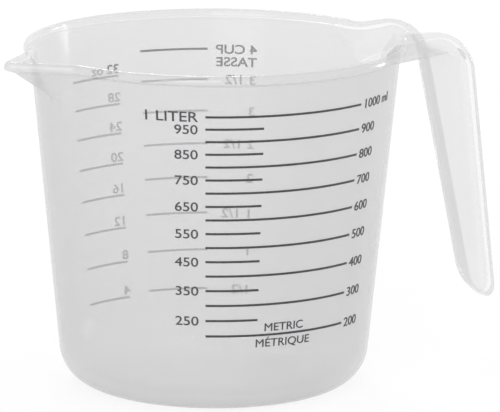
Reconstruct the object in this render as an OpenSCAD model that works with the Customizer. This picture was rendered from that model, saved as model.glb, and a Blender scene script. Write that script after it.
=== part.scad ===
// Measuring jug: a tapered round bowl with a rolled lip, a pouring spout, an open trough
// handle with a free lower end, and three printed graduation scales.
// Lengths are in millimetres and angles in degrees. The bowl's axis is Z, the table is z = 0,
// the handle points along +X and the spout along -X.

/* [Bowl] */
// Height of the rim above the table
jug_h = 119.5; // [105:0.5:135]
// Distance from the rim down to the printed line for one litre
full_line_drop = 14.25; // [12:0.25:20]
// Draft angle of the wall
draft_a = 5.6; // [4:0.1:7]
// Thickness of the wall
wall_t = 1.3; // [1:0.1:2]
// Thickness of the floor
floor_t = 4.5; // [2:0.1:6]
// Outer radius of the rounded bottom corner
corner_r = 14; // [9:0.5:18]

/* [Rim] */
// How far the lip stands out from the wall
lip_w = 2; // [1.6:0.1:3]
// Height of the lip
lip_h = 3.1; // [2.4:0.1:4]
// Radius of the rounding on the lip's lower and inner edges
lip_round = 0.9; // [0.5:0.1:1]

/* [Spout] */
// How far the spout's tip stands out from the lip
spout_out = 15.6; // [11:0.1:20]
// Width of the spout's mouth between the points where its straight sides cross the rim
spout_mouth_w = 34; // [26:0.5:44]
// Radius of the rounded tip, seen from above
spout_tip_r = 3; // [2:0.5:4]
// Radius of the blend from the round rim into each side
spout_blend_r = 4; // [2.5:0.5:12]
// Depth of the spout below the rim
spout_h = 14.5; // [11:0.5:18]

/* [Handle] */
// Distance from the lip out to the grip's outer edge at its lower end
handle_out = 44.5; // [39:0.5:50]
// Height of the grip's free lower end above the table
handle_bottom = 18; // [12:0.5:28]
// Slope of the grip away from the upright
grip_slant_a = 9.9; // [7:0.1:12]
// Drop of the trough's edges below the rim
handle_drop = 1.3; // [0.5:0.1:2]
// Depth of the trough along the grip
grip_depth = 5; // [3.8:0.1:6.5]
// Depth of the trough's floor below the rim where it leaves the bowl
root_depth = 14; // [12:0.5:17]
// Depth of the trough's floor below the rim at the bend
bend_depth = 9.2; // [8:0.1:11]
// Width of the trough's floor at the bowl
root_w = 23.5; // [20:0.5:28]
// Radius of the fillet, seen from above, between the lip and the trough's edges
root_fillet_r = 9; // [6:0.5:11]
// Width of the trough at the bend
bend_w = 31; // [27:0.5:34]
// Width of the trough near its free end
tip_w = 17.6; // [14:0.2:22]
// Thickness of the handle's wall
handle_t = 1.8; // [1.4:0.1:2.2]
// Outer radius of the bend, along the trough's edges
bend_outer_r = 17; // [13:0.5:20]
// Inner radius of the bend, on the side that faces the bowl
bend_inner_r = 3.2; // [2.5:0.1:4]

/* [Scales] */
// Thickness of the printed ink
ink_t = 0.12; // [0.1:0.02:0.2]
// Thickness of a printed line
line_w = 0.75; // [0.5:0.05:1]
// Angle round the jug at which the metric lines start, from the handle
metric_a = -122.9; // [-128:0.1:-118]
// Angle that a long metric line spans
metric_long_a = 54.8; // [48:0.1:62]
// Angle that a short metric line spans
metric_short_a = 18.2; // [14:0.1:24]
// Angle at which the cup lines start
cup_a = 62.5; // [58:0.5:66]
// Angle that a cup line spans
cup_line_a = 22.5; // [16:0.5:26]
// Angle at which the ounce lines start
ounce_a = 93.5; // [90:0.5:98]
// Angle that an ounce line spans
ounce_line_a = 20; // [12:0.5:23]

/* [Hidden] */
$fn = 96;

// Number of steps along a rounded edge
edge_steps = 5;
// Number of steps round the bottom corner
corner_steps = 10;
// One overrun for every cut
over = 2;

// Side of a cube that holds one litre, and the share of a litre that each printed unit is
litre_side = 100;
ml_share = 0.001;
cup_share = 0.25;
ounce_share = 0.028413;

// Bowl: the inner bottom corner, a quarter circle as far as the point where it meets the wall.
// corner_area is the area between the quarter circle's centre line and its arc up to there.
draft = tan(draft_a);
inner_offset = wall_t / cos(draft_a);
inner_corner_r = corner_r - wall_t;
inner_corner_z = floor_t + inner_corner_r;
corner_rise = inner_corner_r * sin(draft_a);
corner_run = inner_corner_r * cos(draft_a);
corner_top_z = inner_corner_z - corner_rise;
corner_area = (PI * pow(inner_corner_r, 2) * (90 - draft_a) / 180 - corner_rise * corner_run) / 2;
corner_rest = pow(inner_corner_r, 2) * (inner_corner_r - corner_rise)
    - (pow(inner_corner_r, 3) - pow(corner_rise, 3)) / 3;

// The bowl holds a litre up to its top line. That volume is a quadratic in inner_corner_cr,
// the radius at which the corner's centre line runs round the axis, and its root sets the bowl.
full_h = jug_h - full_line_drop - corner_top_z;
full_spread = draft * full_h;
square_term = inner_corner_r - corner_rise + full_h;
linear_term = 2 * corner_area + full_h * (2 * corner_run + full_spread);
rest_term = corner_rest - pow(litre_side, 3) / PI
    + full_h * (pow(corner_run, 2) + corner_run * full_spread + pow(full_spread, 2) / 3);
inner_corner_cr = (sqrt(pow(linear_term, 2) - 4 * square_term * rest_term) - linear_term) / (2 * square_term);

// The outer wall line from the table up, the inner one, and the outer corner's centre line
foot_r = inner_corner_cr + inner_corner_r / cos(draft_a) + inner_offset - draft * inner_corner_z;
function wall_r(z) = foot_r + draft * z;
function inner_r(z) = wall_r(z) - inner_offset;
corner_cr = wall_r(corner_r) - corner_r / cos(draft_a);
rim_r = wall_r(jug_h);
lip_r = rim_r + lip_w;
lip_z = jug_h - lip_h;
under_lip_z = lip_z - lip_round;
// The lip's outer top edge is rounded over most of the lip
lip_top_share = 0.9;
lip_top_r = lip_top_share * min(lip_h - lip_round, lip_w);

// Points of an arc round c, from angle a0 to a1
function arc(c, r, a0, a1, steps) =
    [for (i = [0:steps]) let (a = a0 + (a1 - a0) * i / steps) c + r * [cos(a), sin(a)]];

// The lip's section from its underside to the top, and the rounded edge inside the rim
lip_section = concat(
    arc([lip_r - lip_round, lip_z + lip_round], lip_round, -90, 0, edge_steps),
    arc([lip_r - lip_top_r, jug_h - lip_top_r], lip_top_r, 0, 90, edge_steps));
inner_edge_section =
    arc([inner_r(jug_h - lip_round) + lip_round, jug_h - lip_round], lip_round, 90, 180, edge_steps);

// Half profiles: the outside from the axis round the corner, up the wall and over the lip,
// and the inside from the rim down to the floor
outer_profile = concat(
    [[0, 0]],
    arc([corner_cr, corner_r], corner_r, -90, -draft_a, corner_steps),
    [[wall_r(under_lip_z), under_lip_z]], lip_section, [[0, jug_h]]);
inner_profile = concat(
    [[0, jug_h + over], [inner_edge_section[0][0], jug_h + over]], inner_edge_section,
    arc([inner_corner_cr, inner_corner_z], inner_corner_r, -draft_a, -90, corner_steps),
    [[0, floor_t]]);

// A solid through rings of points. Each ring has the same even number of points, and point j
// lies across from point n - 1 - j, so the two ends are closed by a ladder of triangles.
module loft(rings) {
    n = len(rings[0]);
    m = len(rings);
    points = [for (ring = rings) each ring];
    sides = [for (i = [0:m - 2], j = [0:n - 1]) let (k = (j + 1) % n)
        each [[i * n + j, (i + 1) * n + j, (i + 1) * n + k], [i * n + j, (i + 1) * n + k, i * n + k]]];
    ladder = [for (j = [0:n / 2 - 2]) let (k = n - 1 - j) each [[j, j + 1, k], [j + 1, k - 1, k]]];
    far_end = [for (f = ladder) [for (v = [2:-1:0]) (m - 1) * n + f[v]]];
    polyhedron(points = points, faces = concat(sides, ladder, far_end), convexity = 6);
}

// Spout: its edge in plan is a rounded tip, two straight sides, and a blend into the round rim.
// inset moves the whole edge inwards and tip_r is the radius of the tip on that edge.
spout_reach = lip_r + spout_out;
mouth_a = asin(spout_mouth_w / 2 / lip_r);
tip_to_mouth = lip_r * [cos(mouth_a), sin(mouth_a)] - [spout_reach - spout_tip_r, 0];
spout_half_a = atan2(tip_to_mouth[1], -tip_to_mouth[0]) - asin(spout_tip_r / norm(tip_to_mouth));
side_normal = [sin(spout_half_a), cos(spout_half_a)];
side_along = [-cos(spout_half_a), sin(spout_half_a)];
side_distance = (spout_reach - spout_tip_r) * sin(spout_half_a) + spout_tip_r;
function blend_centre(inset) =
    let (b = spout_blend_r + inset, d = side_distance - inset, r = lip_r - inset)
    (d + b) * side_normal - sqrt(pow(r + b, 2) - pow(d + b, 2)) * side_along;
function half_edge(inset, tip_r) =
    let (c = blend_centre(inset), a = 90 - spout_half_a, to_axis = atan2(c[1], c[0]),
         tip_c = (side_distance - inset - tip_r) / sin(spout_half_a))
    concat(arc([tip_c, 0], tip_r, 0, a, tip_arc_steps),
           arc(c, spout_blend_r + inset, a + 180, to_axis + 180, blend_steps));
tip_arc_steps = 5;
blend_steps = 6;
// The same edge as pairs of an angle and how far it stands out from the round rim
function bulge(inset, tip_r) =
    [for (p = half_edge(inset, tip_r)) [atan2(p[1], p[0]), norm(p) - (lip_r - inset)]];
channel_tip_r = 1.2;
outer_bulge = bulge(0, spout_tip_r);
channel_bulge = bulge(lip_w + inner_offset, channel_tip_r);

// The bulge grows from nothing at the spout's foot to its full reach under the lip, and
// spreads from a narrow foot to its full width
spout_z = jug_h - spout_h;
foot_spread_share = 0.3;
function spout_share(z) = min(1, (z - spout_z) / (lip_z - spout_z));
function spread_share(z) = foot_spread_share + (1 - foot_spread_share) * spout_share(z);
// The piece of rim and wall that belongs to the spout ends just past the blends
bulge_points = len(outer_bulge);
rim_margin_a = 1;
spout_sector_a = 2 * (outer_bulge[bulge_points - 1][0] + rim_margin_a);
rim_steps = 2;
function spout_angle(bulge, j, k) =
    let (last = bulge[bulge_points - 1][0] * k)
    j < bulge_points ? bulge[j][0] * k
        : last + (spout_sector_a / 2 - last) * (j - bulge_points + 1) / rim_steps;
// A point [radius, height] of the wall's section, carried to station q of the spout
function on_spout(p, bulge, q) =
    let (j = abs(q), a = sign(q) * spout_angle(bulge, j, spread_share(p[1])),
         r = p[0] + (j < bulge_points ? bulge[j][1] * spout_share(p[1]) : 0))
    [r * cos(a), r * sin(a), p[1]];
spout_levels = 3;
spout_zs = [for (i = [0:spout_levels]) spout_z + (under_lip_z - spout_z) * i / spout_levels];
spout_outer_section = concat([for (z = spout_zs) [wall_r(z), z]], lip_section);
spout_inner_section = concat(inner_edge_section,
    [for (i = [spout_levels:-1:0]) [inner_r(spout_zs[i]), spout_zs[i]]]);
spout_stations = bulge_points - 1 + rim_steps;
spout_rings = [for (q = [spout_stations:-1:-spout_stations]) concat(
    [for (p = spout_outer_section) on_spout(p, outer_bulge, q)],
    [for (p = spout_inner_section) on_spout(p, channel_bulge, q)])];

// Handle: two lines in the XZ plane. The web line is the face towards the bowl, and the edge
// line is the open side. Each runs out from the bowl, round a bend and down the grip.
handle_reach = lip_r + handle_out;
slant = tan(grip_slant_a);
function grip_edge_x(z) = handle_reach - slant * (z - handle_bottom);
function grip_web_x(z) = grip_edge_x(z) - grip_depth / cos(grip_slant_a);
web_root = [wall_r(jug_h - root_depth) - wall_t, jug_h - root_depth];
web_corner = [grip_web_x(jug_h - bend_depth), jug_h - bend_depth];
edge_top_z = jug_h - handle_drop;
edge_root = [web_root[0], edge_top_z];
edge_corner = [grip_edge_x(edge_top_z), edge_top_z];
bridge_a = atan2(web_corner[1] - web_root[1], web_corner[0] - web_root[0]);
grip_a = -(90 - grip_slant_a);
function along(a) = [cos(a), sin(a)];
// A bend of radius r between a line at angle a and the grip, meeting at the corner
function bend(corner, a, r) =
    let (start = corner - along(a) * r * tan((a - grip_a) / 2))
    arc(start + r * along(a - 90), r, a + 90, grip_a + 90, bend_steps);
fillet_steps = 5;
bend_steps = 8;
grip_steps = 4;
tip_steps = 6;

// How much wider the open side is, at the bowl and along the rest, and the rim's lip carried on
// along the trough's edges, with the bevel on its two outer edges
root_flare_w = 2.4;
flare_w = 0.2;
edge_lip_w = 1.4;
edge_lip_h = 3;
edge_bevel = 0.6;

// At the bowl the edges swing outwards on a fillet, seen from above. The outside's fillet runs
// a little way into the lip, and the hollow's into the inside of the rim. inset is 0 outside
// and the wall's thickness inside. Each fillet is its centre's x, its radius and its last angle.
fillet_bite = 0.3;
function fillet(inset) =
    let (side = root_w / 2 + root_flare_w + (inset == 0 ? edge_lip_w : -inset),
         r = root_fillet_r + (inset == 0 ? 0 : edge_lip_w + inset),
         reach = (inset == 0 ? lip_r : inner_r(jug_h)) + r - fillet_bite,
         x = sqrt(pow(reach, 2) - pow(side + r, 2)))
    [x, r, asin(x / reach)];
function fillet_angle(i, inset) = fillet(inset)[2] * (1 - i / fillet_steps);
// How much further out the edge stands at station i of the fillet, and that station's share of
// the way from the bowl to the bend
function swing(i, inset) = fillet(inset)[1] * (1 - cos(fillet_angle(i, inset)));
function root_share(i, inset) =
    (fillet(inset)[0] - fillet(inset)[1] * sin(fillet_angle(i, inset)) - web_root[0])
        / (edge_bend[0][0] - web_root[0]);
function root_line(from, to, inset) =
    [for (i = [0:fillet_steps]) from + (to - from) * root_share(i, inset)];

// The free end: the sides draw in on a radius, and the end wall slopes outwards
end_half_w = handle_t / 2;
end_slope_share = 0.9;
end_slope = grip_depth * end_slope_share;
edge_end = [grip_edge_x(handle_bottom), handle_bottom];
web_end = [grip_web_x(handle_bottom + end_slope), handle_bottom + end_slope];
tip_shares = [for (i = [0:tip_steps]) 1 - sin(90 * i / tip_steps)];

// Points down the grip to the free end
function tip_radius(inset) = tip_w / 2 - end_half_w - inset;
function grip_points(from, end, inset) =
    let (to = end - inset * along(grip_a), turn = to - tip_radius(inset) * along(grip_a))
    concat([for (i = [1:grip_steps]) from + (turn - from) * i / grip_steps],
           [for (i = [1:tip_steps]) to - tip_radius(inset) * tip_shares[i] * along(grip_a)]);
web_bend = bend(web_corner, bridge_a, bend_inner_r);
edge_bend = bend(edge_corner, 0, bend_outer_r);
function web_points(inset) = concat(
    root_line(web_root, web_bend[0], inset), web_bend, grip_points(web_bend[bend_steps], web_end, inset));
function edge_points(inset) = concat(
    root_line(edge_root, edge_bend[0], inset), edge_bend, grip_points(edge_bend[bend_steps], edge_end, inset));

// Half width of the web at each of those points
function web_half_ws(inset) = concat(
    root_line(root_w / 2 - inset, bend_w / 2 - inset, inset),
    [for (i = [0:bend_steps]) bend_w / 2 - inset],
    [for (i = [1:grip_steps]) (bend_w + (tip_w - bend_w) * i / grip_steps) / 2 - inset],
    [for (i = [1:tip_steps]) end_half_w + tip_radius(inset) * sqrt(1 - pow(1 - tip_shares[i], 2))]);
stations = fillet_steps + bend_steps + grip_steps + tip_steps + 1;
// Radius of the trough's outer corners, at the bowl and along the rest
root_corner_r = 6;
trough_corner_r = 2.6;
// A value that runs from one at the bowl to another at the bend, and how much wider the open
// side is there than the web
function from_root(i, inset, at_root, at_bend) =
    at_root + (at_bend - at_root) * (i > fillet_steps ? 1 : root_share(i, inset));
function flare(i, inset) =
    from_root(i, inset, root_flare_w, flare_w) + (i > fillet_steps ? 0 : swing(i, inset));

// One ring of the trough at station i, moved along the handle by shift, from a half section
// that is worked out from the station's depth, half width and corner radius
function station(i, inset) =
    let (w = web_points(inset)[i], e = edge_points(inset)[i], hw = web_half_ws(inset)[i],
         r = min(from_root(i, inset, root_corner_r, trough_corner_r), hw) - inset / 2)
    [w, (e - w) / norm(e - w), norm(e - w), hw, max(r, min(hw, end_half_w))];
function outer_ring(i, shift) =
    let (s = station(i, 0), depth = s[2], hw = s[3], he = hw + flare(i, 0), r = s[4])
    ring_in_space(concat(arc([hw - r, r], r, -90, 0, edge_steps),
        [[he, depth - edge_lip_h], [he + edge_lip_w, depth - edge_lip_h + edge_bevel],
         [he + edge_lip_w, depth - edge_bevel], [he + edge_lip_w - edge_bevel, depth]]),
        s[0] + [shift, 0], s[1]);
function hollow_ring(i, shift) =
    let (s = station(i, handle_t), depth = s[2], hw = s[3], he = hw + flare(i, handle_t), r = s[4])
    ring_in_space(concat(arc([hw - r, r + handle_t], r, -90, 0, edge_steps),
        [[he, depth], [he, depth + over]]),
        s[0] + [shift, 0], s[1]);
// A mirrored half section, given as side and depth, placed in space
function ring_in_space(half, w, up) =
    let (n = len(half), pts = concat(half, [for (i = [n - 1:-1:0]) [-half[i][0], half[i][1]]]))
    [for (p = pts) [w[0] + up[0] * p[1], p[0], w[1] + up[1] * p[1]]];

// Graduations: heights from the volume that fills the bowl up to them
corner_volume = PI * (pow(inner_corner_cr, 2) * (inner_corner_r - corner_rise)
    + 2 * inner_corner_cr * corner_area + corner_rest);
function fill_z(litres) =
    let (r0 = inner_r(corner_top_z),
         r = pow(pow(r0, 3) + 3 * draft * (litres * pow(litre_side, 3) - corner_volume) / PI, 1 / 3))
    corner_top_z + (r - r0) / draft;
metric_marks = [for (ml = [200:50:1000]) ml];
cup_marks = [for (c = [0.5:0.5:4]) c];
ounce_marks = [for (o = [4:4:32]) o];

// One printed line at height z, from angle a round the wall through angle span
module printed_line(z, a, span) {
    low = z - line_w / 2;
    high = z + line_w / 2;
    rotate([0, 0, a])
        rotate_extrude(angle = span)
            polygon([[wall_r(low), low], [wall_r(low) + ink_t, low],
                     [wall_r(high) + ink_t, high], [wall_r(high), high]]);
}

// The trough's outside, and its hollow carried on into the bowl to open the wall
module handle_outside() {
    loft(concat([outer_ring(0, -lip_w)], [for (i = [0:stations]) outer_ring(i, 0)]));
}
module handle_hollow() {
    loft(concat([hollow_ring(0, -root_depth)], [for (i = [0:stations]) hollow_ring(i, 0)]));
}

// The part of the wall and rim that the spout takes, as a sector round the axis
module spout_sector() {
    rotate([0, 0, 180 - spout_sector_a / 2])
        rotate_extrude(angle = spout_sector_a)
            translate([inner_r(0) / 2, spout_z])
                square([spout_reach, spout_h + over]);
}

module bowl() {
    color("gainsboro")
        difference() {
            rotate_extrude() polygon(outer_profile);
            rotate_extrude() polygon(inner_profile);
            spout_sector();
            handle_hollow();
        }
}

module spout() {
    color("lightgray") rotate([0, 0, 180]) loft(spout_rings);
}

module handle() {
    color("whitesmoke")
        difference() {
            handle_outside();
            handle_hollow();
            rotate_extrude() polygon(outer_profile);
        }
}

module metric_scale() {
    color("dimgray")
        for (ml = metric_marks)
            printed_line(fill_z(ml * ml_share), metric_a, ml % 100 == 0 ? metric_long_a : metric_short_a);
}

module cup_scale() {
    color("dimgray")
        for (c = cup_marks) printed_line(fill_z(c * cup_share), cup_a, cup_line_a);
}

module ounce_scale() {
    color("dimgray")
        for (o = ounce_marks) printed_line(fill_z(o * ounce_share), ounce_a, ounce_line_a);
}

bowl();
spout();
handle();
metric_scale();
cup_scale();
ounce_scale();
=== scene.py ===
"""Looks of a measuring jug: the seamless moulding, its printed scales and their numbers."""
from math import asin, atan2, cos, hypot, pi, radians, sin, sqrt, tan

import bpy
import numpy as np
from bpy.props import FloatProperty, FloatVectorProperty, PointerProperty
from mathutils import Matrix, Vector


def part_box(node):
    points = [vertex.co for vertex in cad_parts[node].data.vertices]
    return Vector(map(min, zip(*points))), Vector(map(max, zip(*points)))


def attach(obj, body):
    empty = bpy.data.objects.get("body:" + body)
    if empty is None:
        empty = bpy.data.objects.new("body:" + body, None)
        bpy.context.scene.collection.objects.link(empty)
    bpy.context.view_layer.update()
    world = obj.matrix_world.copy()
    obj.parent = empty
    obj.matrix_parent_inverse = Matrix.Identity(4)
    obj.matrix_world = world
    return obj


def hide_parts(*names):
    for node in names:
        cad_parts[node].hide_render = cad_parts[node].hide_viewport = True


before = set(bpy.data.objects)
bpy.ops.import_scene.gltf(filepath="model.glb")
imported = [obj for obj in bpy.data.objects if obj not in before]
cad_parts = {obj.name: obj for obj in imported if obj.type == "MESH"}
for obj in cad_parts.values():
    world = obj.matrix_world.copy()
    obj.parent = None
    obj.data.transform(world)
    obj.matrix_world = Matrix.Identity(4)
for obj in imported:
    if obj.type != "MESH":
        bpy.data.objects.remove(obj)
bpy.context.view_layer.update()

bl_info = {
    "name": "Measuring jug",
    "version": (1, 0, 0),
    "blender": (4, 5, 0),
    "location": "View3D > Sidebar > Jug",
    "description": "Builds the moulding, the printed scales and the studio of a measuring jug",
    "category": "Object",
}

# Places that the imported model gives
LIP_R, RIM_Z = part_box("bowl")[1][1:]
SPOUT_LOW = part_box("spout")[0]
HANDLE_LOW, HANDLE_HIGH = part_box("handle")


def length(name, description, default):
    """A length in metres that a user may change."""
    return FloatProperty(name=name, description=description, default=default,
                         unit="LENGTH", subtype="DISTANCE", precision=5)


def angle(name, description, default_degrees):
    """An angle that a user may change, with its default in degrees."""
    return FloatProperty(name=name, description=description, default=radians(default_degrees),
                         unit="ROTATION", subtype="ANGLE")


def colour(name, description, default):
    """A colour that a user may change."""
    return FloatVectorProperty(name=name, description=description, default=default, size=3,
                               subtype="COLOR", min=0.0, max=1.0)


def fraction(name, description, default):
    """A share from 0 to 1 that a user may change."""
    return FloatProperty(name=name, description=description, default=default, min=0.0, max=1.0,
                         subtype="FACTOR")


class JugSizes(bpy.types.PropertyGroup):
    """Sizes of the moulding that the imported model's boxes don't give"""
    draft: angle("Draft", "Slope of the bowl's wall", 5.6)
    wall: length("Wall", "Thickness of the bowl's wall", 0.0013)
    floor: length("Floor", "Thickness of the bowl's floor", 0.0045)
    corner: length("Corner", "Outer radius of the rounded bottom corner", 0.014)
    lip_width: length("Lip width", "How far the lip stands out from the wall", 0.002)
    lip_height: length("Lip height", "Height of the lip", 0.0031)
    lip_round: length("Lip rounding", "Radius of the lip's lower and inner edges", 0.0009)
    mouth_width: length("Spout mouth",
                        "Width between the points where the spout's sides cross the rim", 0.034)
    spout_tip: length("Spout tip", "Radius of the rounded tip, seen from above", 0.003)
    spout_blend: length("Spout blend", "Radius of the blend from the rim into each side", 0.004)
    channel_tip: length("Channel tip", "Radius of the pouring channel's tip", 0.0012)
    handle_wall: length("Handle wall", "Thickness of the handle's wall", 0.0018)
    handle_drop: length("Handle drop", "Drop of the trough's edges below the rim", 0.0013)
    grip_slant: angle("Grip slant", "Slope of the grip away from the upright", 9.9)
    grip_depth: length("Grip depth", "Depth of the trough along the grip", 0.005)
    root_depth: length("Root depth", "Depth of the trough's floor below the rim at the bowl",
                       0.014)
    bend_depth: length("Bend depth", "Depth of the trough's floor below the rim at the bend",
                       0.0092)
    root_width: length("Root width", "Width of the trough's floor at the bowl", 0.0235)
    bend_width: length("Bend width", "Width of the trough's floor at the bend", 0.031)
    tip_width: length("Tip width", "Width of the trough's floor near its free end", 0.0176)
    bend_outer: length("Outer bend", "Radius of the bend along the trough's edges", 0.017)
    bend_inner: length("Inner bend", "Radius of the bend that faces the bowl", 0.0032)
    root_fillet: length("Root fillet",
                        "Radius, seen from above, between the lip and the trough's edges", 0.009)
    root_flare: length("Root flare", "How much wider the open side is at the bowl", 0.0024)
    flare: length("Flare", "How much wider the open side is along the rest", 0.0002)
    edge_lip: length("Edge lip", "Width of the lip along the trough's edges", 0.0014)
    edge_lip_height: length("Edge lip height", "Height of that lip", 0.003)


class JugLooks(bpy.types.PropertyGroup):
    """Colours of the moulding, the ink and the studio, and the size of the printed letters"""
    plastic: colour("Plastic", "Milky colour of the bowl's plastic", (0.63, 0.63, 0.63))
    # The handle's paler colour is a painted lighter tone for the thin handle
    handle_plastic: colour("Handle plastic", "Paler colour of the plastic out along the handle",
                           (0.69, 0.69, 0.69))
    opacity: fraction("Opacity", "Share of light that the wall's outer face holds back", 0.45)
    handle_opacity: fraction(
        "Handle opacity", "Share of light that the outer face of the handle and lip holds back",
        0.41)
    inner_opacity: fraction("Inner opacity", "Share of light that an inner face holds back", 0.1)
    front_ink: colour("Front ink", "Black ink of the metric scale", (0.03, 0.03, 0.033))
    back_ink: colour("Back ink", "Black ink of the cup and ounce scales", (0.03, 0.03, 0.033))
    floor: colour("Floor", "Pale floor of the studio", (0.9, 0.9, 0.9))
    digit_height: length("Digit height", "Height of a printed digit", 0.0033)
    small_height: length("Small letters", "Height of the letters of the unit words", 0.0029)
    ink: length("Ink", "How far the printed letters stand proud of the wall", 0.00012)


def sizes():
    """The sizes that the panel shows."""
    return bpy.context.scene.jug_sizes


def looks():
    """The colours, opacities and letter sizes that the panel shows."""
    return bpy.context.scene.jug_looks


# Meshes from numpy grids

def read_all(items, name, width=1, kind=np.float32):
    """One property of all vertices, corners or faces, as one row of numbers."""
    found = np.empty(len(items) * width, kind)
    items.foreach_get(name, found)
    return found


def mesh_object(name, points, corners, counts, finishes=None):
    """A mesh object from points, each face's corners in a row, their counts and its slots."""
    mesh = bpy.data.meshes.new(name)
    mesh.vertices.add(len(points))
    mesh.vertices.foreach_set("co", np.ascontiguousarray(points, np.float32).ravel())
    mesh.loops.add(len(corners))
    mesh.loops.foreach_set("vertex_index", np.asarray(corners, np.int32))
    mesh.polygons.add(len(counts))
    mesh.polygons.foreach_set("loop_start", (np.cumsum(counts) - counts).astype(np.int32))
    if finishes is not None:
        mesh.polygons.foreach_set("material_index", np.asarray(finishes, np.int32))
    mesh.update(calc_edges=True)
    mesh.validate()
    thing = bpy.data.objects.new(name, mesh)
    bpy.context.scene.collection.objects.link(thing)
    return thing


def grid_quads(rows, columns):
    """Quads over a grid of rings: row by row, with the last column joined to the first."""
    row, column = np.meshgrid(np.arange(rows - 1), np.arange(columns), indexing="ij")
    after = (column + 1) % columns
    return np.stack([row * columns + column, row * columns + after,
                     (row + 1) * columns + after, (row + 1) * columns + column], -1).reshape(-1, 4)


def capped(name, rings, finishes=None):
    """A closed solid through rings round the axis, with a pole in the middle of each end.

    Its faces are the quads from ring to ring, then the first end's triangles and the last end's.
    """
    rows, columns = rings.shape[:2]
    poles = [[0, 0, rings[0, 0, 2]], [0, 0, rings[-1, 0, 2]]]
    points = np.concatenate([rings.reshape(-1, 3), poles])
    quads = grid_quads(rows, columns)
    first = np.arange(columns)
    after = (first + 1) % columns
    under = np.stack([np.full(columns, rows * columns), after, first], 1)
    last = (rows - 1) * columns
    over = np.stack([np.full(columns, rows * columns + 1), last + first, last + after], 1)
    return mesh_object(name, points, np.concatenate([quads.ravel(), under.ravel(), over.ravel()]),
                       np.concatenate([np.full(len(quads), 4), np.full(2 * columns, 3)]), finishes)


def arc(centre, radius, start, end, steps):
    """Points on an arc: centre + radius (cos a, sin a), with a from start to end in radians."""
    a = np.linspace(start, end, steps + 1)
    return np.asarray(centre) + radius * np.stack([np.cos(a), np.sin(a)], 1)


def line(start, end, steps):
    """Points on a straight line from start to end, both included."""
    share = np.linspace(0, 1, steps + 1)[:, None]
    return np.asarray(start) * (1 - share) + np.asarray(end) * share


# The bowl and its spout

# The moulding's material slots
WALL_FINISH, CLEAR_FINISH, GLOSSY_FINISH = 0, 1, 2


def wall_radius(z):
    """Outer radius of the wall: it grows with height by the draft, up to the rim."""
    s = sizes()
    return LIP_R - s.lip_width - tan(s.draft) * (RIM_Z - z)


def inner_radius(z):
    """Inner radius of the wall: the outer one less the wall, measured along the radius."""
    return wall_radius(z) - sizes().wall / cos(sizes().draft)


INK_CLEARANCE = 0.00005

# The rounding of a lip's upper edge, as a share of the most that fits
LIP_TOP_SHARE = 0.9

# Steps along each stretch of the wall's section
FLOOR_STEPS = 6
CORNER_STEPS = 24
WALL_STEPS = 30
SPOUT_ROWS = 12
ROUND_STEPS = 6


def outer_face(z):
    """Radius of the wall's outer face, a hair inside the printed ink that stands on the wall."""
    return wall_radius(z) - INK_CLEARANCE


def wall_section():
    """The wall's section as rows of [radius, height], with a flag for its inner half.

    It runs from the middle of the underside round the corner, up the wall, round the lip, over
    the rim and down the inside to the middle of the floor.
    """
    s = sizes()
    spout_z = SPOUT_LOW[2]
    under_lip = RIM_Z - s.lip_height - s.lip_round
    top_round = LIP_TOP_SHARE * min(s.lip_height - s.lip_round, s.lip_width)
    corner_r = wall_radius(s.corner) - s.corner / cos(s.draft)
    low = arc((corner_r, s.corner), s.corner, -pi / 2, -s.draft, CORNER_STEPS)
    low[:, 0] -= INK_CLEARANCE
    top_of_corner = low[-1]
    outer = np.concatenate([
        line((0, 0), low[0], FLOOR_STEPS)[1:-1], low,
        line(top_of_corner, (outer_face(spout_z), spout_z), WALL_STEPS)[1:],
        line((outer_face(spout_z), spout_z), (outer_face(under_lip), under_lip), SPOUT_ROWS)[1:],
        arc((LIP_R - s.lip_round, RIM_Z - s.lip_height + s.lip_round), s.lip_round, -pi / 2, 0,
            ROUND_STEPS),
        arc((LIP_R - top_round, RIM_Z - top_round), top_round, 0, pi / 2, ROUND_STEPS)])
    inner_corner = s.corner - s.wall
    centre_z = s.floor + inner_corner
    centre_r = inner_radius(centre_z) - inner_corner / cos(s.draft)
    low = arc((centre_r, centre_z), inner_corner, -s.draft, -pi / 2, CORNER_STEPS)
    edge = arc((inner_radius(RIM_Z - s.lip_round) + s.lip_round, RIM_Z - s.lip_round), s.lip_round,
               pi / 2, pi, ROUND_STEPS)
    spout_foot = (inner_radius(spout_z), spout_z)
    inner = np.concatenate([
        edge, line((inner_radius(edge[-1][1]), edge[-1][1]), spout_foot, SPOUT_ROWS)[1:],
        line(spout_foot, low[0], WALL_STEPS)[1:-1],
        low, line(low[-1], (0, s.floor), FLOOR_STEPS)[1:-1]])
    flags = np.concatenate([np.zeros(len(outer)), np.ones(len(inner))])
    return np.concatenate([outer, inner]), flags


# Steps along each stretch of the spout's edge
SPOUT_TIP_STEPS = 8
SPOUT_SIDE_STEPS = 10
SPOUT_BLEND_STEPS = 18


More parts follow.
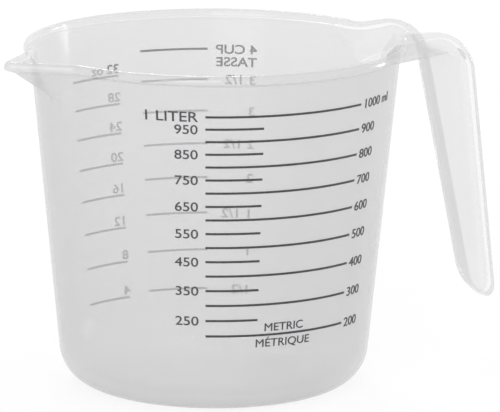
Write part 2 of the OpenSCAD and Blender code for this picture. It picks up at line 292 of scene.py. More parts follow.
def spout_edge(inset, tip):
    """Half the spout's edge in plan, as angles from its centre line and stand-outs from the rim.

    The edge is an arc round the tip, a straight side, and a blend that is tangent to the side
    and to the round rim. inset moves it all inwards.
    """
    s = sizes()
    reach = -SPOUT_LOW[0]
    mouth = asin(s.mouth_width / 2 / LIP_R)
    across = np.array([LIP_R * cos(mouth) - (reach - s.spout_tip), LIP_R * sin(mouth)])
    half = atan2(across[1], -across[0]) - asin(s.spout_tip / hypot(*across))
    normal = np.array([sin(half), cos(half)])
    along = np.array([-cos(half), sin(half)])
    side = (reach - s.spout_tip) * sin(half) + s.spout_tip
    centre = ((side + s.spout_blend) * normal
              - sqrt((LIP_R + s.spout_blend) ** 2 - (side + s.spout_blend) ** 2) * along)
    tip_centre = ((side - inset - tip) / sin(half), 0)
    turn = pi / 2 - half
    tip_arc = arc(tip_centre, tip, 0, turn, SPOUT_TIP_STEPS)
    blend = arc(centre, s.spout_blend + inset, turn + pi, atan2(centre[1], centre[0]) + pi,
                SPOUT_BLEND_STEPS)
    edge = np.concatenate([tip_arc, line(tip_arc[-1], blend[0], SPOUT_SIDE_STEPS)[1:-1], blend])
    return np.arctan2(edge[:, 1], edge[:, 0]), np.hypot(edge[:, 0], edge[:, 1]) - (LIP_R - inset)


# Columns round half the bowl beyond the spout, and the spout's width at its foot as a share
ROUND_COLUMNS = 150
FOOT_SPREAD = 0.3


def bowl_points():
    """The bowl's whole surface as a grid: rows along the wall's section, columns round the axis.

    Each column of the spout has an angle and a stand-out on the rim. Down the wall the stand-out
    fades in proportion to the height above the spout's foot, and the angle draws in with it.
    """
    s = sizes()
    section, inside = wall_section()
    foot = SPOUT_LOW[2]
    share = np.clip((section[:, 1] - foot) / (RIM_Z - s.lip_height - foot), 0, 1)[:, None]
    spread = FOOT_SPREAD + (1 - FOOT_SPREAD) * share
    outer_a, outer_b = spout_edge(0, s.spout_tip)
    inner_a, inner_b = spout_edge(s.lip_width + s.wall / cos(s.draft), s.channel_tip)
    inside = inside[:, None]
    spout_a = (outer_a * (1 - inside) + inner_a * inside) * spread
    bulge = (outer_b * (1 - inside) + inner_b * inside) * share
    rest = np.linspace(0, 1, ROUND_COLUMNS + 1)[1:]
    last = spout_a[:, -1:]
    half_a = np.concatenate([spout_a, last + (pi - last) * rest], 1)
    half_r = np.concatenate([section[:, :1] + bulge,
                             np.repeat(section[:, :1], ROUND_COLUMNS, 1)], 1)
    a = np.concatenate([-half_a[:, -2:0:-1], half_a], 1) + pi
    r = np.concatenate([half_r[:, -2:0:-1], half_r], 1)
    z = np.repeat(section[:, 1:], a.shape[1], 1)
    return np.stack([r * np.cos(a), r * np.sin(a), z], -1)


def bowl_object():
    """The bowl with its spout, closed at the middle of its underside and of its floor.

    A face has the wall's finish up to the lip, the glossier finish of the lip and handle up to
    the top of the rim, and the inner finish from there on.
    """
    rings = bowl_points()
    section, inside = wall_section()
    finish = np.where(inside == 1, CLEAR_FINISH, WALL_FINISH)
    finish[(section[:, 1] > RIM_Z - sizes().lip_height) & (inside == 0)] = GLOSSY_FINISH
    per_ring = np.concatenate([finish[1:], [WALL_FINISH, CLEAR_FINISH]])
    return capped("bowl_body", rings, np.repeat(per_ring, rings.shape[1]))


# The handle, a trough carried along a line under its floor and a line along its edges

# Steps along each stretch of the two lines, and round a corner of the section
FILLET_STEPS = 12
BRIDGE_STEPS = 5
BEND_STEPS = 20
GRIP_STEPS = 14
TIP_STEPS = 14
TROUGH_ROUND = 8
CORE_COLUMNS = 240

# Columns of the section under its edge lip
UNDER_EDGE_LIP = np.arange(TROUGH_ROUND + 1, TROUGH_ROUND + ROUND_STEPS // 2 + 2)

# How far the fillet runs into the lip, the handle's seat into the wall, and the hollow past the
# trough's edges
FILLET_BITE = 0.0003
SEAT_DEPTH = 0.006
HOLLOW_OVER = 0.002

# Radii of the corners between the trough's floor and sides, at the bowl and along the rest
ROOT_CORNER = 0.006
TROUGH_CORNER = 0.0026

# Shares of the most that fits: the free end's slope, the edge lip's lower edge and the corners
END_SLOPE_SHARE = 0.9
EDGE_LOW_SHARE = 0.9
CORNER_SHARE = 0.9

# Drop of the edge lip's underside towards the trough's side
LIP_SLOPE = 0.0002

# The least angle between two faces that leaves a sharp edge
SHARP_EDGE = radians(35)


def direction(a):
    """The unit vector [cos a, sin a]."""
    return np.array([cos(a), sin(a)])


def bend_line(corner, before, after, radius):
    """An arc of that radius that is tangent to the lines at angles before and after."""
    start = corner - direction(before) * radius * tan((before - after) / 2)
    centre = start + radius * direction(before - pi / 2)
    return arc(centre, radius, before + pi / 2, after + pi / 2, BEND_STEPS)


def fillet(inset):
    """The fillet from the lip to the trough's edges, from above, as x, radius and last angle.

    Its circle touches the edge's straight side, and its centre lies at the distance circle +
    radius - bite from the jug's axis, so it runs a little way into the lip or the rim's inside.
    """
    s = sizes()
    side = s.root_width / 2 + s.root_flare + (-inset if inset else s.edge_lip)
    radius = s.root_fillet + (s.edge_lip + inset if inset else 0)
    reach = (inner_radius(RIM_Z) if inset else LIP_R) + radius - FILLET_BITE
    x = sqrt(reach ** 2 - (side + radius) ** 2)
    return x, radius, asin(x / reach)


def handle_lines(inset):
    """The web line, the edge line, and the trough's half width, flare and corner along them.

    Both lines run out from the bowl, round a bend and down the grip to the free end. At the
    bowl the edges swing out on the fillet by radius (1 - cos a), and rise to the rim's height.
    """
    s = sizes()
    down = s.grip_slant - pi / 2
    bottom = HANDLE_LOW[2]
    reach = HANDLE_HIGH[0]
    edge_z = RIM_Z - s.handle_drop

    def edge_x(z):
        """The grip's edge line at a height."""
        return reach - tan(s.grip_slant) * (z - bottom)

    def web_x(z):
        """The grip's floor line at a height."""
        return edge_x(z) - s.grip_depth / cos(s.grip_slant)

    root_z = RIM_Z - s.root_depth
    web_root = np.array([wall_radius(root_z) - s.wall, root_z])
    edge_root = np.array([web_root[0], edge_z])
    corner_z = RIM_Z - s.bend_depth
    web_corner = np.array([web_x(corner_z), corner_z])
    bridge = atan2(web_corner[1] - web_root[1], web_corner[0] - web_root[0])
    web_bend = bend_line(web_corner, bridge, down, s.bend_inner)
    edge_bend = bend_line(np.array([edge_x(edge_z), edge_z]), 0, down, s.bend_outer)

    centre_x, radius, last = fillet(inset)
    part = np.linspace(0, 1, FILLET_STEPS + 1)
    swing_x = centre_x - radius * np.sin(last * (1 - part))
    share = (swing_x - web_root[0]) / (edge_bend[0][0] - web_root[0])
    share = np.concatenate([share, np.linspace(share[-1], 1, BRIDGE_STEPS + 1)[1:-1]])
    swing = np.zeros(len(share))
    swing[:FILLET_STEPS + 1] = radius * (1 - np.cos(last * (1 - part)))
    rise = np.zeros(len(share))
    rise[:FILLET_STEPS + 1] = (s.handle_drop - FILLET_BITE) * (1 - part) ** 2

    end_half = s.handle_wall / 2
    slope = s.grip_depth * END_SLOPE_SHARE
    tip_radius = s.tip_width / 2 - end_half - inset
    tip_share = 1 - np.sin(np.linspace(0, pi / 2, TIP_STEPS + 1))[1:]

    def whole_line(root, bend, end):
        """Root, bend, grip and rounded tip in one line, whose end is drawn in by the inset."""
        to = end - inset * direction(down)
        turn = to - tip_radius * direction(down)
        return np.concatenate([root + (bend[0] - root) * share[:, None],
                               bend, line(bend[-1], turn, GRIP_STEPS)[1:],
                               to - tip_radius * tip_share[:, None] * direction(down)])

    def from_root(at_root, at_bend):
        """A value along the line that changes evenly from the root to the bend, then stays."""
        values = np.full(len(share) + BEND_STEPS + 1 + GRIP_STEPS + TIP_STEPS, at_bend, float)
        values[:len(share)] = at_root + (at_bend - at_root) * share
        return values

    web = whole_line(web_root, web_bend, np.array([web_x(bottom + slope), bottom + slope]))
    edge = whole_line(edge_root, edge_bend, np.array([edge_x(bottom), bottom]))
    edge[:len(share), 1] += rise
    half = from_root(s.root_width / 2, s.bend_width / 2) - inset
    grip = np.linspace(0, 1, GRIP_STEPS + 1)[1:]
    half[-GRIP_STEPS - TIP_STEPS:-TIP_STEPS] += (s.tip_width - s.bend_width) / 2 * grip
    half[-TIP_STEPS:] = end_half + tip_radius * np.sqrt(1 - (1 - tip_share) ** 2)
    flare = from_root(s.root_flare, s.flare)
    flare[:len(share)] += swing
    corner = np.minimum(from_root(ROOT_CORNER, TROUGH_CORNER), half) - inset / 2
    corner = np.minimum(np.maximum(corner, end_half), CORNER_SHARE * half)
    return web, edge, half, flare, corner


def trough_rings(inset, over):
    """Rings of the trough: a flat floor, round corners and flared sides up to the edge line.

    A ring point is web + up depth, where up points from the web line to the edge line. The
    outside has a rounded lip along its edges, and the hollow runs on past them by over.
    """
    s = sizes()
    web, edge, half, flare, corner = handle_lines(inset)
    up = edge - web
    depth = np.hypot(up[:, 0], up[:, 1])
    up = up / depth[:, None]
    a = np.linspace(-pi / 2, 0, TROUGH_ROUND + 1)
    side = (half - corner)[:, None] + corner[:, None] * np.cos(a)
    rise = (corner + inset)[:, None] + corner[:, None] * np.sin(a)
    wide = (half + flare)[:, None]
    if inset:
        more_side = np.concatenate([wide, wide], 1)
        more_rise = np.stack([depth, depth + over], 1)
    else:
        low = s.edge_lip / 2 * EDGE_LOW_SHARE
        high = s.edge_lip * LIP_TOP_SHARE
        lip = np.concatenate([
            [[0, -s.edge_lip_height - LIP_SLOPE]],
            arc((s.edge_lip - low, low - s.edge_lip_height), low, -pi / 2, 0, ROUND_STEPS // 2),
            arc((s.edge_lip - high, -high), high, 0, pi / 2, ROUND_STEPS)])
        more_side = wide + lip[:, 0]
        more_rise = depth[:, None] + lip[:, 1]
    side = np.concatenate([side, more_side], 1)
    rise = np.concatenate([rise, more_rise], 1)
    side = np.concatenate([side, -side[:, ::-1]], 1)
    rise = np.concatenate([rise, rise[:, ::-1]], 1)
    x = web[:, :1] + up[:, :1] * rise
    z = web[:, 1:] + up[:, 1:] * rise
    return np.stack([x, side, z], -1)


def ladder(count):
    """Quads that close a ring of count points, joining point j with point count - 1 - j."""
    j = np.arange(count // 2 - 1)
    return np.stack([j, j + 1, count - 2 - j, count - 1 - j], 1)


def trough_object(name, rings, finish, under_lip=()):
    """A closed solid through the rings, with both ends closed by ladders.

    It has one finish, apart from the clearer inner one in the columns under the edge lip, where
    a side wall stands close behind and holds the light back already.
    """
    rows, count = rings.shape[:2]
    far = ladder(count) + (rows - 1) * count
    near = ladder(count)[:, ::-1]
    quads = np.concatenate([grid_quads(rows, count), near, far])
    finishes = np.full(len(quads), finish)
    columns = np.arange((rows - 1) * count) % count
    columns = np.minimum(columns, count - 2 - columns)
    finishes[:len(columns)][np.isin(columns, under_lip)] = CLEAR_FINISH
    return mesh_object(name, rings.reshape(-1, 3), quads.ravel(), np.full(len(quads), 4), finishes)


def wall_core():
    """A cone from the handle's root up past the rim, whose radius reaches the wall's middle."""
    z = np.array([HANDLE_LOW[2], RIM_Z + sizes().lip_height])
    a = np.linspace(0, 2 * pi, CORE_COLUMNS, endpoint=False)
    r = (inner_radius(z) + sizes().wall / 2)[:, None]
    height = np.repeat(z[:, None], CORE_COLUMNS, 1)
    return capped("wall_core", np.stack([r * np.cos(a), r * np.sin(a), height], -1))


def cut(target, tool, operation):
    """Applies an exact boolean of the tool to the target, and deletes the tool."""
    if not tool.data.materials:
        for material in target.data.materials:
            tool.data.materials.append(material)
    boolean = target.modifiers.new("cut", "BOOLEAN")
    boolean.operation = operation
    boolean.object = tool
    boolean.solver = "EXACT"
    depsgraph = bpy.context.evaluated_depsgraph_get()
    mesh = bpy.data.meshes.new_from_object(target.evaluated_get(depsgraph))
    target.modifiers.clear()
    old = target.data
    target.data = mesh
    bpy.data.meshes.remove(old)
    bpy.data.objects.remove(tool, do_unlink=True)


def finish_surface(thing):
    """Smooth shading, with sharp edges kept."""
    mesh = thing.data
    mesh.polygons.foreach_set("use_smooth", np.ones(len(mesh.polygons), bool))
    mesh.set_sharp_from_angle(angle=SHARP_EDGE)
    mesh.update()


# Materials

# Where the colour turns from the bowl's to the handle's, along X: a painted lighter tone for the
# thin handle
PAINTED_LIGHT_FROM = 0.044
PAINTED_LIGHT_TO = 0.072

# The height up to which the plastic is painted darker, and the tone of that painted shade at the
# bottom
PAINTED_SHADE_TO = 0.011
PAINTED_SHADE_TONE = 0.9

# The darkest tone of the flow marks, and the faint waves and the clear gloss of the plastic
FLOW_TONE = 0.97
WAVE_STRENGTH = 0.06
WAVE_HEIGHT = 0.0002
COAT_ROUGHNESS = 0.04

# How much lighter the ink is where its cover is thinnest
THIN_INK = 1.8

# The studio floor: its darkest grain, its roughness, and the white that the camera sees there
FLOOR_GRAIN = 0.995
FLOOR_ROUGHNESS = 0.9
FLOOR_GLOW = 1.06
FLOOR_GLOW_SHARE = 0.75


def new_material(name):
    """A node material and its Principled shader."""
    material = bpy.data.materials.new(name)
    material.use_nodes = True
    return material, material.node_tree.nodes["Principled BSDF"]


def add_noise(material, scale, detail=2):
    """A Noise Texture on Object coordinates."""
    nodes, links = material.node_tree.nodes, material.node_tree.links
    place = nodes.new("ShaderNodeTexCoord")
    noise = nodes.new("ShaderNodeTexNoise")
    noise.inputs["Scale"].default_value = scale
    noise.inputs["Detail"].default_value = detail
    links.new(place.outputs["Object"], noise.inputs["Vector"])
    return noise


def add_range(material, source, low, high):
    """An output that goes from 0 to 1 as the source goes from low to high."""
    span = material.node_tree.nodes.new("ShaderNodeMapRange")
    span.inputs["From Min"].default_value = low
    span.inputs["From Max"].default_value = high
    material.node_tree.links.new(source, span.inputs["Value"])
    return span.outputs["Result"]


def add_ramp(material, source, low, high, start=0.3, end=0.7):
    """A Color Ramp from one colour to another, as the source goes from start to end."""
    ramp = material.node_tree.nodes.new("ShaderNodeValToRGB")
    for element, position, tone in zip(ramp.color_ramp.elements, (start, end), (low, high)):
        element.position = position
        element.color = (*tone, 1)
    material.node_tree.links.new(source, ramp.inputs["Fac"])
    return ramp.outputs["Color"]


def add_greys(material, source, low, high, start=0.3, end=0.7):
    """A Color Ramp from one grey to another."""
    return add_ramp(material, source, (low,) * 3, (high,) * 3, start, end)


def add_roughness(material, shader, scale, low, high):
    """Roughness that wanders between two values with a fine grain."""
    grain = add_noise(material, scale)
    rough = add_greys(material, grain.outputs["Fac"], low, high)
    material.node_tree.links.new(rough, shader.inputs["Roughness"])


def add_seen(tree):
    """An output that is 1 for camera, glossy and transmission rays, and 0 for all others."""
    path = tree.nodes.new("ShaderNodeLightPath")
    seen = path.outputs["Is Camera Ray"]
    for ray in ("Is Glossy Ray", "Is Transmission Ray"):
        both = tree.nodes.new("ShaderNodeMath")
        both.operation = "ADD"
        both.use_clamp = True
        tree.links.new(seen, both.inputs[0])
        tree.links.new(path.outputs[ray], both.inputs[1])
        seen = both.outputs[0]
    return seen


def plastic_material(name, opacity, specular, coat, wavy):
    """Translucent plastic: milky, see-through and softly glossy, with faint flow marks.

    Its colour goes from the bowl's to the handle's with distance along X, a painted lighter tone
    out along the thin handle. It is multiplied by the flow marks, and by a painted shade that
    darkens the plastic low down, where it is thick.
    """
    look = looks()
    material, shader = new_material(name)
    nodes, links = material.node_tree.nodes, material.node_tree.links
    cloud = add_noise(material, scale=28, detail=3)
    place = nodes.new("ShaderNodeSeparateXYZ")
    links.new(cloud.inputs["Vector"].links[0].from_socket, place.inputs["Vector"])
    # Painted lighter tone: the colour turns paler out along the handle
    along = add_range(material, place.outputs["X"], PAINTED_LIGHT_FROM, PAINTED_LIGHT_TO)
    # Painted shade: the plastic darkens towards the bottom
    low = add_range(material, place.outputs["Z"], 0, PAINTED_SHADE_TO)
    tone = add_ramp(material, along, look.plastic, look.handle_plastic, start=0, end=1)
    for factor in (add_greys(material, cloud.outputs["Fac"], FLOW_TONE, 1),
                   add_greys(material, low, PAINTED_SHADE_TONE, 1, start=0, end=1)):
        both = nodes.new("ShaderNodeMix")
        both.data_type = "RGBA"
        both.blend_type = "MULTIPLY"
        both.inputs["Factor"].default_value = 1.0
        links.new(tone, both.inputs["A"])
        links.new(factor, both.inputs["B"])
        tone = both.outputs["Result"]
    links.new(tone, shader.inputs["Base Color"])
    add_roughness(material, shader, scale=260, low=0.17, high=0.24)
    if wavy:
        bump = nodes.new("ShaderNodeBump")
        bump.inputs["Strength"].default_value = WAVE_STRENGTH
        bump.inputs["Distance"].default_value = WAVE_HEIGHT
        wave = add_noise(material, scale=60)
        links.new(wave.outputs["Fac"], bump.inputs["Height"])
        links.new(bump.outputs["Normal"], shader.inputs["Normal"])
    shader.inputs["Alpha"].default_value = opacity
    shader.inputs["Specular IOR Level"].default_value = specular
    shader.inputs["Coat Weight"].default_value = coat
    shader.inputs["Coat Roughness"].default_value = COAT_ROUGHNESS
    return material


def ink_material(name, tone):
    """Printed ink: a satin film with faint unevenness in its cover."""
    material, shader = new_material(name)
    full = np.array(tone)
    cover = add_noise(material, scale=900, detail=3)
    ink = add_ramp(material, cover.outputs["Fac"], full, full * THIN_INK)
    material.node_tree.links.new(ink, shader.inputs["Base Color"])
    add_roughness(material, shader, scale=2500, low=0.4, high=0.55)
    return material


def floor_material():
    """A pale floor that reads as white to the camera and keeps the jug's soft shadow.

    For the rays that add_seen names it is a mix of the lit floor and a white glow.
    """
    material, shader = new_material("studio_floor")
    nodes, links = material.node_tree.nodes, material.node_tree.links
    grain = add_noise(material, scale=6)
    base = np.array(looks().floor)
    links.new(add_ramp(material, grain.outputs["Fac"], base * FLOOR_GRAIN, base),
              shader.inputs["Base Color"])
    shader.inputs["Roughness"].default_value = FLOOR_ROUGHNESS
    shader.inputs["Specular IOR Level"].default_value = 0.0
    glow = nodes.new("ShaderNodeEmission")
    glow.inputs["Strength"].default_value = FLOOR_GLOW
    part = nodes.new("ShaderNodeMath")
    part.operation = "MULTIPLY"
    part.inputs[1].default_value = FLOOR_GLOW_SHARE
    links.new(add_seen(material.node_tree), part.inputs[0])
    mix = nodes.new("ShaderNodeMixShader")
    links.new(part.outputs[0], mix.inputs["Fac"])
    links.new(shader.outputs["BSDF"], mix.inputs[1])
    links.new(glow.outputs["Emission"], mix.inputs[2])
    links.new(mix.outputs["Shader"], nodes["Material Output"].inputs["Surface"])
    return material


# Lettering

# The metric scale's lowest line, highest line and long lines, and the cup, in millilitres
LOWEST_ML = 200
HIGHEST_ML = 1000
LONG_STEP = 100
HALF_CUP_ML = 125

# The ounce in millilitres, and the ounce scale's step and top
OUNCE_ML = 28.413
OUNCE_STEP = 4
MOST_OUNCES = 32

# Half a printed line's thickness
LINE_HALF = 0.000375

# Where the words stand round the wall
METRIC_LEFT = radians(-125.2)
METRIC_RIGHT = radians(-66.7)
METRIC_WORDS = radians(-94.6)
CUP_LEFT = radians(46.3)
OUNCE_LEFT = radians(93)

# How much wider than the font the letters are, and gaps between words and lines
WIDE = 1.2
WIDE_SMALL = 1.08
WORD_GAP = 0.0013
OUNCE_GAP = 0.001

# In digit heights: the height of the litre's words, and the drop to the cup's second word
LITRE_TALLER = 1.1
SECOND_WORD_DROP = 1.85

# The font's capitals as a share of its size, half the depth of raw letters, and how far their
# outlines move out, in front and at the back
CAP_SHARE = 0.729
RAW_HALF = 0.5
STROKE = 0.007
BACK_STROKE = 0.02

# Outlines: the steepest slope of a side's normal, the decimals that tell two corners apart, the
# least cosine of half a turn, and a length that stands for none
SIDE_SLOPE = 0.5
CORNER_DECIMALS = 4
SHARPEST = 0.5
TINY = 1e-9


def fill_height(millilitres):
    """Height of a volume's line, from the metric scale's lowest and highest lines.

    Between them the bowl is a cone, so r cubed grows in proportion to the volume.
    """
    low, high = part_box("metric_scale")
    z0, z1 = low[2] + LINE_HALF, high[2] - LINE_HALF
    r0, r1 = inner_radius(z0), inner_radius(z1)
    part = (r1 ** 3 - r0 ** 3) * (millilitres - LOWEST_ML) / (HIGHEST_ML - LOWEST_ML)
    return z0 + (np.cbrt(r0 ** 3 + part) - r0) / tan(sizes().draft)


def thicken(mesh, points, by):
    """The outlines of flat letters, moved outwards by a distance.

    At each corner of an outline the two sides' normals add up to a pull. The corner moves along
    it by distance / cos(half the turn), so that both sides move by the distance.
    """
    totals = read_all(mesh.polygons, "loop_total", kind=np.int32)
    normals = np.repeat(read_all(mesh.polygons, "normal", 3).reshape(-1, 3), totals, 0)
    index = read_all(mesh.loops, "vertex_index", kind=np.int32)
    sides = abs(normals[:, 2]) < SIDE_SLOPE
    spots, spot = np.unique(np.round(points[:, :2], CORNER_DECIMALS), axis=0, return_inverse=True)
    spot = spot.ravel()
    pull = np.zeros((len(spots), 2))
    count = np.zeros(len(spots))
    np.add.at(pull, spot[index[sides]], normals[sides, :2])
    np.add.at(count, spot[index[sides]], 1)
    pull /= np.maximum(count, 1)[:, None]
    size = np.hypot(pull[:, 0], pull[:, 1])
    move = by * pull / np.maximum(size * np.maximum(size, SHARPEST), TINY)[:, None]
    points[:, :2] += move[spot]


def print_on_wall(words, height, width, at, z, align, stroke=STROKE):
    """Text as thin solid letters wrapped on the wall.

    A letter's width runs round the wall as an angle, x / radius, and its height up the wall. The
    text starts, ends or is centred at the given angle, by align.
    """
    curve = bpy.data.curves.new("words", "FONT")
    curve.body = words
    curve.size = 1.0
    curve.align_x = align
    curve.extrude = RAW_HALF
    thing = bpy.data.objects.new("words", curve)
    bpy.context.scene.collection.objects.link(thing)
    depsgraph = bpy.context.evaluated_depsgraph_get()
    mesh = bpy.data.meshes.new_from_object(thing.evaluated_get(depsgraph))
    bpy.data.objects.remove(thing, do_unlink=True)
    points = read_all(mesh.vertices, "co", 3).reshape(-1, 3).astype(float)
    thicken(mesh, points, stroke)
    up = points[:, 1] * height / CAP_SHARE
    along = points[:, 0] * height / CAP_SHARE * width
    level = z + up * cos(sizes().draft)
    a = at + along / wall_radius(z)
    r = wall_radius(level) - INK_CLEARANCE / 2 + looks().ink * (points[:, 2] + RAW_HALF)
    placed = np.stack([r * np.cos(a), r * np.sin(a), level], 1)
    mesh.vertices.foreach_set("co", placed.astype(np.float32).ravel())
    mesh.update()
    return mesh


def join_meshes(name, meshes):
    """One mesh object from several meshes, whose vertices stay where they are."""
    points, corners, totals = [], [], []
    before = 0
    for mesh in meshes:
        points.append(read_all(mesh.vertices, "co", 3).reshape(-1, 3))
        corners.append(read_all(mesh.loops, "vertex_index", kind=np.int32) + before)
        totals.append(read_all(mesh.polygons, "loop_total", kind=np.int32))
        before += len(mesh.vertices)
        bpy.data.meshes.remove(mesh)
    return mesh_object(name, *map(np.concatenate, (points, corners, totals)))


def print_level(words, millilitres, at, align, stroke=STROKE, taller=1.0):
    """Words beside a volume's line, whose digits have their middle at the line's height."""
    digit = looks().digit_height
    return print_on_wall(words, digit * taller, WIDE, at, fill_height(millilitres) - digit / 2,
                         align, stroke)


def metric_words():
    """The metric scale's words.

    The fifties and a litre stand on the left, the hundreds on the right, and two words over and
    under the lowest line.
    """
    left = [print_level(str(ml), ml, METRIC_LEFT, "RIGHT")
            for ml in range(LOWEST_ML + LONG_STEP // 2, HIGHEST_ML, LONG_STEP)]
    litre = print_level("1 LITER", HIGHEST_ML, METRIC_LEFT, "RIGHT", taller=LITRE_TALLER)
    right = [print_level(f"{ml} ml" if ml == HIGHEST_ML else str(ml), ml, METRIC_RIGHT, "LEFT")
             for ml in range(LOWEST_ML, HIGHEST_ML + 1, LONG_STEP)]
    small = looks().small_height
    lowest = fill_height(LOWEST_ML)
    middle = [print_on_wall(words, small, WIDE_SMALL, METRIC_WORDS, z, "CENTER")
              for words, z in (("METRIC", lowest + WORD_GAP),
                               ("MÉTRIQUE", lowest - WORD_GAP - small))]
    return left + [litre] + right + middle


def cup_words():
    """Half cups up to four cups, whose line has a second word under the first."""
    labels = ("1/2", "1", "1 1/2", "2", "2 1/2", "3", "3 1/2", "4 CUP")
    cups = [print_level(words, half_cups * HALF_CUP_ML, CUP_LEFT, "LEFT", BACK_STROKE)
            for half_cups, words in enumerate(labels, 1)]
    digit = looks().digit_height
    second = print_on_wall("TASSE", digit, WIDE, CUP_LEFT,
                           fill_height(HIGHEST_ML) - digit * SECOND_WORD_DROP, "LEFT", BACK_STROKE)
    return cups + [second]


def ounce_words():
    """Every fourth number of ounces, over its line."""
    return [print_on_wall(f"{ounces} oz" if ounces == MOST_OUNCES else str(ounces),
                          looks().digit_height, WIDE, OUNCE_LEFT,
                          fill_height(ounces * OUNCE_ML) + OUNCE_GAP, "LEFT", BACK_STROKE)
            for ounces in range(OUNCE_STEP, MOST_OUNCES + 1, OUNCE_STEP)]


# The operators for the jug

class JUG_OT_moulding(bpy.types.Operator):
    """Makes the seamless moulding of bowl, spout and handle"""
    bl_idname = "jug.moulding"
    bl_label = "Moulding"

    def execute(self, context):
        """Joins bowl and trough, cuts the trough's hollow through both, and finishes the faces."""
        s, look = sizes(), looks()
        plastics = [plastic_material("bowl_plastic", look.opacity, specular=0.08, coat=0.06,
                                     wavy=True),
                    plastic_material("inner_plastic", look.inner_opacity, specular=0.5, coat=1.0,
                                     wavy=False),
                    plastic_material("handle_plastic", look.handle_opacity, specular=0.3, coat=0.8,
                                     wavy=True)]
        outside = trough_rings(0, 0)
        seat = outside[0] - np.array([SEAT_DEPTH, 0, 0])
        body = bowl_object()
        trough = trough_object("trough_outside", np.concatenate([seat[None], outside]),
                               GLOSSY_FINISH, UNDER_EDGE_LIP)
        for thing in (body, trough):
            for plastic in plastics:
                thing.data.materials.append(plastic)
        cut(trough, wall_core(), "DIFFERENCE")
        cut(body, trough, "UNION")
        hollow = trough_rings(s.handle_wall, HOLLOW_OVER)
        inward = hollow[0] - np.array([s.root_depth, 0, 0])
        cut(body, trough_object("trough_hollow", np.concatenate([inward[None], hollow]),
                                CLEAR_FINISH), "DIFFERENCE")
        body.name = "jug_moulding"
        finish_surface(body)
        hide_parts("bowl", "spout", "handle")
        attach(body, "root")
        return {"FINISHED"}


class JUG_OT_scales(bpy.types.Operator):
    """Gives the printed lines their ink"""
    bl_idname = "jug.scales"
    bl_label = "Printed lines"

    def execute(self, context):
        """Puts the front ink on the metric lines, and the back ink on the cup and ounce lines."""
        front = ink_material("front_ink", looks().front_ink)
        back = ink_material("back_ink", looks().back_ink)
        for node, ink in (("metric_scale", front), ("cup_scale", back), ("ounce_scale", back)):
            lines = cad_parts[node]
            lines.data.materials.clear()
            lines.data.materials.append(ink)
        return {"FINISHED"}


class JUG_OT_lettering(bpy.types.Operator):
    """Prints the plain numbers and unit words beside the lines"""
    bl_idname = "jug.lettering"
    bl_label = "Lettering"

    def execute(self, context):
        """Joins each scale's words into one piece, in the ink of its lines."""
        for name, meshes, slot in (("metric_numbers", metric_words(), "front_ink"),
                                   ("cup_numbers", cup_words(), "back_ink"),
                                   ("ounce_numbers", ounce_words(), "back_ink")):
            thing = join_meshes(name, meshes)
            thing.data.materials.append(bpy.data.materials[slot])
            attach(thing, "root")
        return {"FINISHED"}


# The studio

# The camera, fitted to the photograph: where it stands, and what its middle looks at
VIEW_AZIMUTH = radians(-30)
VIEW_ELEVATION = radians(12.16)
VIEW_ROLL = radians(-0.3)
VIEW_DISTANCE = 1.956
VIEW_TARGET = Vector((0, 0, 0.06))
PIXELS_PER_METRE = 2894
TARGET_PIXEL = (214.46, 210.83)
FRAME_PIXELS = (500, 412)
SENSOR = 36.0
CLIP_END = 20

# The studio's floor, a hair under the jug so that the two faces don't coincide
FLOOR_HALF = 1.5
FLOOR_GAP = 0.0001

WORLD_LIGHT = 0.66
WHITE = (1, 1, 1, 1)


def add_light(name, place, aim, size, power):
    """A soft area lamp that looks from place to aim."""
    lamp = bpy.data.lights.new(name, "AREA")
    lamp.shape = "RECTANGLE"
    lamp.size, lamp.size_y = size
    lamp.energy = power
    thing = bpy.data.objects.new(name, lamp)
    thing.location = place
    thing.rotation_euler = (Vector(aim) - Vector(place)).to_track_quat("-Z", "Y").to_euler()
    bpy.context.scene.collection.objects.link(thing)
    return thing


def add_camera():
    """The camera, turned a little so that the photograph's middle is its axis."""
    a, e = VIEW_AZIMUTH, VIEW_ELEVATION
    forward = Vector((-sin(a) * cos(e), cos(a) * cos(e), -sin(e)))
    right = Vector((cos(a), sin(a), 0))
    up = right.cross(forward)
    focal_pixels = PIXELS_PER_METRE * VIEW_DISTANCE
    off_x = FRAME_PIXELS[0] / 2 - TARGET_PIXEL[0]
    off_y = TARGET_PIXEL[1] - FRAME_PIXELS[1] / 2
    look = (forward + right * off_x / focal_pixels + up * off_y / focal_pixels).normalized()
    side = look.cross(up).normalized()
    top = side.cross(look)
    turned_side = side * cos(VIEW_ROLL) - top * sin(VIEW_ROLL)
    turned_top = top * cos(VIEW_ROLL) + side * sin(VIEW_ROLL)
    data = bpy.data.cameras.new("view")
    data.sensor_width = SENSOR
    data.lens = focal_pixels * SENSOR / FRAME_PIXELS[0]
    data.clip_end = CLIP_END
    camera = bpy.data.objects.new("view", data)
    turn = Matrix((turned_side, turned_top, -look)).transposed()
    camera.matrix_world = Matrix.Translation(VIEW_TARGET - forward * VIEW_DISTANCE) @ turn.to_4x4()
    bpy.context.scene.collection.objects.link(camera)
    bpy.context.scene.camera = camera


def add_world():
    """An even pale world that the camera and clear rays see as white."""
    world = bpy.data.worlds.new("studio")
    world.use_nodes = True
    nodes, links = world.node_tree.nodes, world.node_tree.links
    light = nodes["Background"]
    light.inputs["Color"].default_value = WHITE
    light.inputs["Strength"].default_value = WORLD_LIGHT
    white = nodes.new("ShaderNodeBackground")
    white.inputs["Color"].default_value = WHITE
    white.inputs["Strength"].default_value = 1.0
    mix = nodes.new("ShaderNodeMixShader")
    links.new(add_seen(world.node_tree), mix.inputs["Fac"])
    links.new(light.outputs["Background"], mix.inputs[1])
    links.new(white.outputs["Background"], mix.inputs[2])
    links.new(mix.outputs["Shader"], nodes["World Output"].inputs["Surface"])
    bpy.context.scene.world = world


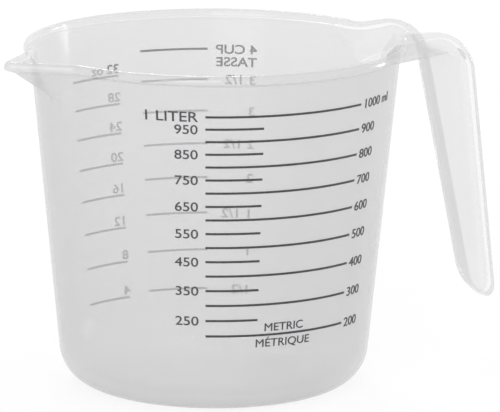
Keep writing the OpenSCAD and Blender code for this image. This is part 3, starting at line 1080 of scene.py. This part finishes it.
class JUG_OT_stage(bpy.types.Operator):
    """Makes the floor, the lights and the camera"""
    bl_idname = "jug.stage"
    bl_label = "Studio"

    def execute(self, context):
        """Puts the floor under the jug, then three soft lamps, the world and the camera."""
        square = np.array([[-1, -1, 0], [1, -1, 0], [1, 1, 0], [-1, 1, 0]]) * FLOOR_HALF
        floor = mesh_object("studio_floor", square - [0, 0, FLOOR_GAP], np.arange(4),
                            np.array([4]))
        floor.data.materials.append(floor_material())
        add_light("key", place=(-0.9, -0.9, 0.42), aim=(0, 0, 0.06), size=(0.8, 0.7), power=7.5)
        add_light("side", place=(1.2, -0.12, 0.21), aim=(0, 0, 0.09), size=(0.12, 0.38), power=4.5)
        add_light("back", place=(0.35, 0.85, 0.8), aim=(0, 0, 0.1), size=(0.4, 0.12), power=2.6)
        add_world()
        add_camera()
        context.scene.view_settings.view_transform = "Standard"
        return {"FINISHED"}


# The add-on

class JUG_PT_panel(bpy.types.Panel):
    """Lists the jug's pieces and sizes"""
    bl_label = "Measuring jug"
    bl_space_type = "VIEW_3D"
    bl_region_type = "UI"
    bl_category = "Jug"

    def draw(self, context):
        """A button for each operator, then a field for each size and colour."""
        for operator in OPERATORS:
            self.layout.operator(operator.bl_idname)
        for group in (context.scene.jug_sizes, context.scene.jug_looks):
            for name in group.bl_rna.properties.keys():
                if name not in ("rna_type", "name"):
                    self.layout.prop(group, name)


OPERATORS = (JUG_OT_moulding, JUG_OT_scales, JUG_OT_lettering, JUG_OT_stage)
CLASSES = (JugSizes, JugLooks) + OPERATORS + (JUG_PT_panel,)


def register():
    """Makes the classes known to Blender and gives the scene its sizes and looks."""
    for entry in CLASSES:
        bpy.utils.register_class(entry)
    bpy.types.Scene.jug_sizes = PointerProperty(type=JugSizes)
    bpy.types.Scene.jug_looks = PointerProperty(type=JugLooks)


def unregister():
    """Takes away what register added."""
    del bpy.types.Scene.jug_looks
    del bpy.types.Scene.jug_sizes
    for entry in reversed(CLASSES):
        bpy.utils.unregister_class(entry)


def main():
    """Makes every piece and the studio."""
    register()
    bpy.ops.jug.moulding()
    bpy.ops.jug.scales()
    bpy.ops.jug.lettering()
    bpy.ops.jug.stage()


if __name__ == "__main__":
    main()
